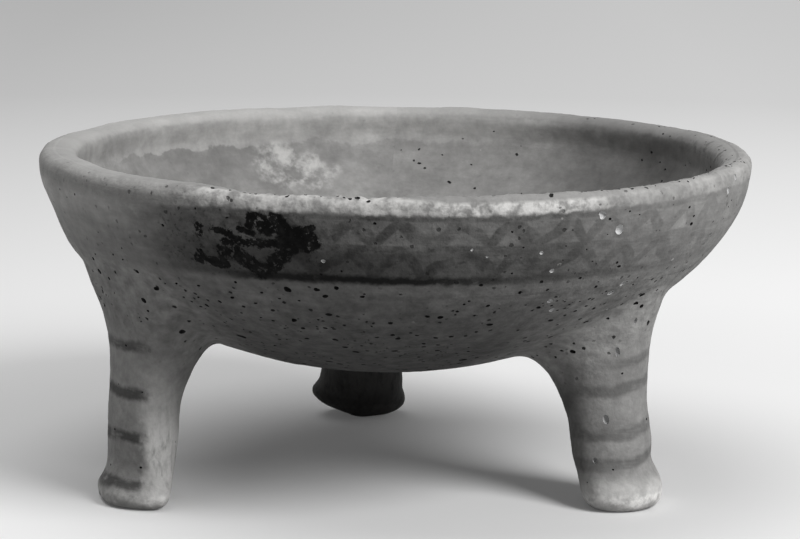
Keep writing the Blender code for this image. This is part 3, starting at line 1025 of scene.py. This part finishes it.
def paint(w, v, tone, height):
    # soot, then three lines and two rows of strokes, drawn by hand and mostly worn off
    soot = times(byTurn(w.turn, v["soot"]), between(w.z, *v["sootZone"]))
    soot = times(soot, ease(timesPlus(w.coarse, 0.6, times(w.patch, 0.6)), 0.35, 0.8))
    tone = mixTone(soot, tone, times(tone, 0.32))
    dim = times(byTurn(w.turn, v["lowSoot"]), between(w.z, *v["lowSootZone"]))
    dim = times(dim, timesPlus(w.patch, 0.8, 0.5))
    tone = mixTone(dim, tone, times(tone, 0.42))
    wander = waver(noise(w.place, 55, 2), 0.14, w.turn)
    drift = waver(noise(w.place, 28, 2), 2.2 * mm, w.z)
    marks = atLeast(*(between(drift, *v[line], 0.35 * mm) for line in ("upperLine", "middleLine")))
    marks = atLeast(marks, atLeast(*(zigzag(wander, drift, v["stroke"], *row) for row in v["rows"])))
    flakes = timesPlus(w.coarse, 0.9, times(w.patch, 0.7))
    wash = times(times(byTurn(w.turn, v["wash"]), ease(flakes, 0.50, 0.98)), 1.4)
    tone = mixTone(times(marks, wash), tone, v["paintTone"])
    ragged = timesPlus(w.coarse, 2.4 * mm, minus(drift, 1.2 * mm))
    low = times(between(ragged, *v["lowerLine"], 0.7 * mm), byTurn(w.turn, v["lowerWash"]))
    tone = mixTone(times(low, ease(flakes, 0.38, 0.75)), tone, v["paintTone"])
    flecks = times(soot, ease(noise(w.place, 800, 3, 0.6), 0.57, 0.63))
    tone = mixTone(flecks, tone, v["paintTone"])
    # the whole paint is stirred to give it ragged edges
    stir = v["stir"]
    sideways = timesPlus(w.turn, bowlValues["rimRadius"], -stir / 2)
    sideways = timesPlus(noise(w.place, 330, 5, 0.75), stir, sideways)
    upwards = timesPlus(noise(w.place, 300, 5, 0.75), stir, minus(w.z, stir / 2))
    flat = combine(sideways, upwards, 0.0)
    bold = 0.0
    for stroke in v["brushwork"]:
        bold = atLeast(bold, brush(flat, *stroke))
    specked = timesPlus(noise(w.place, 650, 4, 0.7), 0.8, times(w.patch, 0.4))
    bold = times(bold, ease(specked, 0.48, 0.55))
    tone = mixTone(bold, tone, mixTone(ease(noise(w.place, 420, 3, 0.6), 0.4, 0.75), *v["boldTones"]))
    return tone, plus(height, times(bold, 0.2))


def insideClay(w, v):
    # smoother and paler, smeared level, stained on the left, scraped in one place, and darker at the back on the
    # right as painted shade
    smear = streaks(w, 0.03, 0.5, 130, 4)
    tone = vary(vary(vary(about(w.broad, 0.5), w.patch, 0.5), smear, 1.0), w.gravel, 0.5)
    # darker at the back on the right: painted shade
    tone = times(tone, mixTone(w.off, v["insideFloor"], byTurn(w.turn, v["inside"])))
    upper = times(ease(w.z, 81 * mm, 87 * mm), byTurn(w.turn, v["insideTop"]))
    tone = times(tone, plus(upper, 1))
    shore = waver(w.patch, 9 * mm, w.z)
    stain = times(ease(shore, 83.6 * mm, 82.8 * mm), ease(w.z, 52 * mm, 68 * mm))
    stain = times(stain, byTurn(w.turn, v["stain"]))
    tone = mixTone(stain, tone, times(tone, v["insideDark"]))
    scraped = timesPlus(noise(w.place, 240, 3, 0.6), 0.7, times(w.patch, 0.3))
    scrape = times(around(w.place, *v["scrape"], 1.8, 90), ease(scraped, 0.42, 0.66))
    return mixTone(scrape, tone, v["insideWorn"])


def rubAndLightLip(w, v, tone):
    # rubbed pale, roughest along the front, where a pale band along the outer edge is wear and painted highlight
    edge = mixTone(w.inside, timesPlus(byTurn(w.turn, v["lipEdge"]), *v["lipSpan"]), 91.2 * mm)
    soft = mixTone(w.inside, times(byTurn(w.turn, v["lipSoft"]), 4 * mm), 0.5 * mm)
    lip = ease(minus(waver(w.coarse, 2.4 * mm, w.z), edge), times(soft, -1), soft)
    lumps = timesPlus(noise(w.place, 380, 3, 0.6), 0.8, times(w.patch, 0.3))
    # the pale band along the front lip's outer edge: wear and painted highlight
    shine = times(ease(lumps, 0.38, 0.66), between(w.reach, 96.4 * mm, 103 * mm, 0.8 * mm))
    shineTop = timesPlus(byTurn(w.turn, v["shineTop"]), *v["lipSpan"])
    shine = times(shine, ease(minus(shineTop, w.z), -0.6 * mm, 0.6 * mm))
    shine = times(shine, byTurn(w.turn, v["lipShine"]))
    lipTone = vary(mixTone(shine, byTurn(w.turn, v["lip"]), v["rubbedAndLit"]), w.patch, 0.5)
    gaps = times(ease(noise(w.place, 300, 3, 0.6), 0.54, 0.62), between(w.reach, 89 * mm, 93.5 * mm, 0.8 * mm))
    gaps = times(gaps, times(byTurn(w.turn, v["lipGaps"]), ease(w.z, 88 * mm, 90 * mm)))
    return mixTone(gaps, mixTone(lip, tone, lipTone), v["gap"])


def addGrit(w, v, tone, height):
    # pale grains, most of them on the right, tiny pocks coloured near black as painted shade, and dark specks
    pale = times(specks(w.place, 190, 0.13, 0.08), ease(w.grain, 0.35, 0.6))
    tone = mixTone(times(pale, byTurn(w.turn, v["grit"])), tone, v["whiteGrain"])
    stirred = vectorCalc("ADD", w.place, vectorCalc("SCALE", noise(w.place, 700, 2, 0.5, "Color"), 1.2 * mm))
    # tiny pocks coloured near black: painted shade
    pocks = times(specks(stirred, 300, 0.19, 0.56), times(w.coarseness, minus(1, w.inside)))
    tone = mixTone(times(pocks, 0.95), tone, v["pockShade"])
    darkSpecks = times(specks(stirred, 420, 0.22, 0.22), timesPlus(w.coarseness, 0.8, 0.1))
    darkSpecks = times(darkSpecks, timesPlus(w.inside, -0.6, 1))
    tone = mixTone(times(darkSpecks, 0.6), tone, times(tone, 0.3))
    fine = times(minus(w.grain, 0.5), timesPlus(w.coarseness, 0.38, 0.04))
    return times(tone, plus(fine, 1)), minus(height, pocks)


def bowlSkin(place, x, y, z, painted):
    w = readWall(place, x, y, z)
    outside, height = bareClay(w, bowlTones)
    if painted:
        outside, height = paint(w, paintValues, outside, height)
    tone = mixTone(w.inside, outside, insideClay(w, bowlTones))
    tone, height = addGrit(w, bowlTones, rubAndLightLip(w, bowlTones, tone), height)
    rough = timesPlus(w.patch, 0.25, minus(mixTone(w.inside, 0.62, 0.5), 0.1))
    return tone, rough, height, w.reach


def bowlFinish(name, painted):
    material, _, place, (x, y, z) = startFinish(name)
    tone, rough, height, _ = bowlSkin(place, x, y, z, painted)
    endFinish(tone, rough, height, clayValues["bowlBump"])
    return material


# the legs' finish: paler clay with brushed bands, rubbed at the toe; the rear leg and the right leg's far side
# darkened as painted shade, the left leg's face towards the lamps paled as wear and painted light

legTones = {"band": 0.04, "bandHalf": 1.5, "soot": 0.03, "rubAndLight": 0.66, "whiteGrain": 0.45, "rubbedAndLit": 0.1,
            # soot is the dark tone given to the right leg's side away from the key lamp: painted shade
            "faceTurn": 180, "fade": (9 * mm, 2 * mm), "shadedSide": (0, 1, 0.0)}
legFinishes = {     # where one leg differs
    # the left leg's face towards the lamps is paled: wear and painted light
    "left": {**legTones, "tone": 0.34, "bands": (6.5, 19.5, 32, 45), "slant": -0.04, "strength": 0.8,
             "footPale": 1.1, "rubbedAndLit": 0.9, "faceTurn": 147.5, "fade": (4 * mm, 0)},
    "right": {**legTones, "tone": 0.28, "bands": (15, 23, 35, 42.5), "slant": -0.20, "strength": 0.5,
              "footPale": 2.2, "shadedSide": (56 * mm, 48 * mm, 0.7)},
    # the rear leg darkened almost to black where it stands in shade: painted shade
    "rear": {**legTones, "tone": 0.05, "bands": (8, 20, 32, 44), "slant": 0.05, "strength": 0.6,
             "footPale": 0.8},
}


def legFinish(side):
    v = legFinishes[side]
    material, tree, place, (x, y, z) = startFinish(side + "LegClay")
    bowlTone, bowlRough, bowlHeight, reach = bowlSkin(place, x, y, z, False)
    mapping = tree.nodes.new("ShaderNodeMapping")
    frameBack = legFrame(side).inverted()
    mapping.inputs["Location"].default_value = frameBack.to_translation()
    mapping.inputs["Rotation"].default_value = frameBack.to_euler()
    link(place, mapping.inputs["Vector"])
    split = tree.nodes.new("ShaderNodeSeparateXYZ")
    link(mapping.outputs[0], split.inputs[0])
    out, along, _ = split.outputs
    broad = noise(place, 45, 3)
    patch = noise(place, 130, 4, 0.6)
    grain = noise(place, 900, 3, 0.6)
    coarse = noise(place, 330, 4, 0.6)
    tone = vary(vary(times(about(broad, 0.6), v["tone"]), patch, 0.7), coarse, 0.7)
    # past the ridge the leg is paler, in upright streaks: wear, and on the left leg's face towards the lamps
    # painted light
    face = math.radians(v["faceTurn"])
    facing = plus(times(out, math.cos(face)), times(along, math.sin(face)))
    streak = noise(combine(x, y, times(z, 0.35)), 420, 4, 0.65)
    rubAndLight = waver(patch, 10 * mm, facing)
    rubAndLight = times(ease(rubAndLight, -0.5 * mm, 2.5 * mm), between(z, 6 * mm, 26 * mm, 9 * mm))
    rubAndLight = times(times(rubAndLight, ease(streak, 0.25, 0.55)), v["rubbedAndLit"])
    # brushed bands, worn thin, only on the outer face
    level = waver(noise(place, 90, 4, 0.65), 4 * mm, timesPlus(along, v["slant"], z))
    bands = 0.0
    half = v["bandHalf"]
    for height in v["bands"]:
        bands = atLeast(bands, between(level, (height - half) * mm, (height + half) * mm, 0.8 * mm))
    hairs = noise(combine(times(x, 0.15), times(y, 0.15), z), 900, 3, 0.6)
    worn = ease(timesPlus(hairs, 0.45, times(patch, 0.8)), 0.36, 0.66)
    outer = ease(waver(coarse, 6 * mm, facing), *v["fade"])
    marked = times(times(bands, worn), times(outer, v["strength"]))
    tone = mixTone(marked, tone, v["band"])
    # the right leg darkened on its side away from the key lamp: painted shade
    start, end, most = v["shadedSide"]
    shadedSide = times(ease(timesPlus(patch, 5 * mm, x), start, end), most)
    tone = mixTone(shadedSide, tone, v["soot"])
    tone = mixTone(rubAndLight, tone, v["rubAndLight"])
    tone = times(tone, mixTone(ease(z, 11 * mm, 5 * mm), 1.0, v["footPale"]))
    toe = between(waver(patch, 6 * mm, z), 1.6 * mm, 4.6 * mm, 0.9 * mm)
    toe = times(toe, ease(coarse, 0.3, 0.6))
    tone = mixTone(times(toe, 0.75), tone, times(tone, 1.6))
    pale = times(specks(place, 190, 0.12, 0.06), ease(grain, 0.35, 0.6))
    tone = vary(mixTone(pale, tone, v["whiteGrain"]), grain, 0.3)
    rough = timesPlus(patch, 0.25, 0.45)
    height = plus(times(grain, 0.5), times(coarse, 0.9))
    # towards the root the leg takes the bowl's own clay
    share = power(times(reach, 1 / bowlValues["rimRadius"], clamp=True), bowlValues["spreadPower"])
    share = power(minus(1, share, clamp=True), 1 / bowlValues["dropPower"])
    gap = waver(broad, 8 * mm, minus(timesPlus(share, -outerDepth, widest), z))
    root = ease(gap, 19 * mm, 5 * mm)
    blends = ((tone, bowlTone), (rough, bowlRough), (height, bowlHeight))
    endFinish(*(mixTone(root, leg, bowl) for leg, bowl in blends), clayValues["legBump"])
    return material


def build():
    setCamera(cameraValues)
    setStudio(studioValues)
    print("camera and studio set")
    bowl = modelBowl(bowlValues)
    legs = [modelLeg(side) for side in legValues]
    body = joinClay(bowl, legs, bodyValues)
    workByHand(body, handValues)
    body.data.materials.append(clayFinish("clay", 0.2, 0.7))
    pressPits(body, pitValues)
    pieces = partClay(body, joinValues)
    replaced = {"base": ("bowl_base",), "wall": ("wall_coil",), "rim": ("rim_coil",)}
    for side in legValues:
        replaced[side + "Leg"] = (side + "_leg", side + "_luting_coil")
    finishes = {name: bowlFinish(name + "Clay", name != "base") for name in ("base", "wall", "rim")}
    finishes.update({side + "Leg": legFinish(side) for side in legValues})
    for name, piece in pieces.items():
        piece.data.materials[0] = finishes[name]
        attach(piece, "root")
        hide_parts(*replaced[name])
    print("finishes set")


build()
